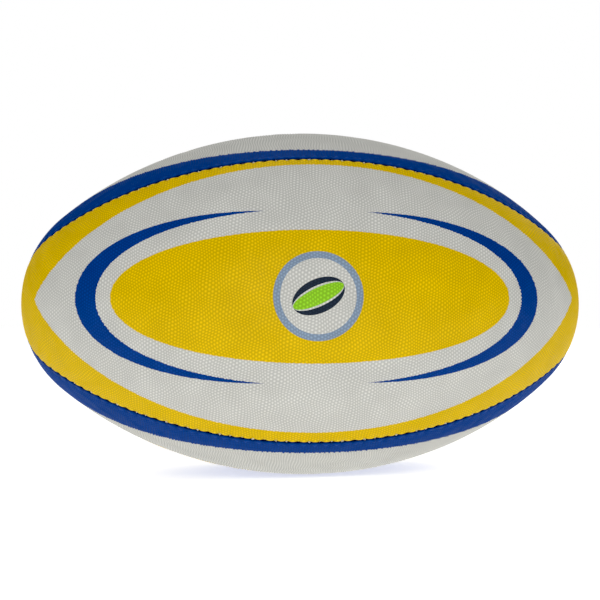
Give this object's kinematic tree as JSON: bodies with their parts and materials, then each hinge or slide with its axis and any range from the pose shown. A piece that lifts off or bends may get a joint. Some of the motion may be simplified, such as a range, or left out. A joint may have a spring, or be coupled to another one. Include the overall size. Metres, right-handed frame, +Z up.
{
  "type": "rugby ball",
  "caption": "Oval four-panel hand-stitched rugby ball with pimpled rubber covers, fabric plies, a bladder and a pull-out valve plug.",
  "frame": {"origin": "centre of the ball", "axes": "+X along the ball from tip to tip, +Z up through the valve in the middle of the top panel, -Y out through the middle of the front panel"},
  "size_m": [0.3, 0.183, 0.1829],
  "materials": {
    "printed_cover_yellow_edge": "matt pimpled rubber, printed yellow, blue and pale grey",
    "printed_cover_blue_edge": "matt pimpled rubber, printed blue, yellow and pale grey",
    "cotton_ply": "plain woven cotton",
    "polyester_ply": "plain woven polyester",
    "waxed_thread": "twisted and waxed polyester thread",
    "bladder_rubber": "smooth soft rubber with a dusting of talc",
    "valve_rubber": "moulded rubber",
    "plug_rubber": "moulded soft rubber"
  },
  "bodies": {
    "ball": {"cover_front": "printed_cover_yellow_edge", "cover_top": "printed_cover_blue_edge", "cover_back": "printed_cover_yellow_edge", "cover_bottom": "printed_cover_blue_edge", "cotton_ply_front": "cotton_ply", "cotton_ply_top": "cotton_ply", "cotton_ply_back": "cotton_ply", "cotton_ply_bottom": "cotton_ply", "polyester_ply_front": "polyester_ply", "polyester_ply_top": "polyester_ply", "polyester_ply_back": "polyester_ply", "polyester_ply_bottom": "polyester_ply", "seam_thread_top_front": "waxed_thread", "seam_thread_top_back": "waxed_thread", "seam_thread_bottom_front": "waxed_thread", "seam_thread_bottom_back": "waxed_thread", "bladder": "bladder_rubber", "lining_patch": "cotton_ply", "valve_boot": "valve_rubber", "valve_patch": "bladder_rubber"},
    "valve_plug": {"valve_plug": "plug_rubber"}
  },
  "joints": [
    {"name": "valve_plug_slide", "type": "slide", "parent": "ball", "child": "valve_plug", "axis": [0, 0, 1], "range_m": [0, 0.018]}
  ]
}
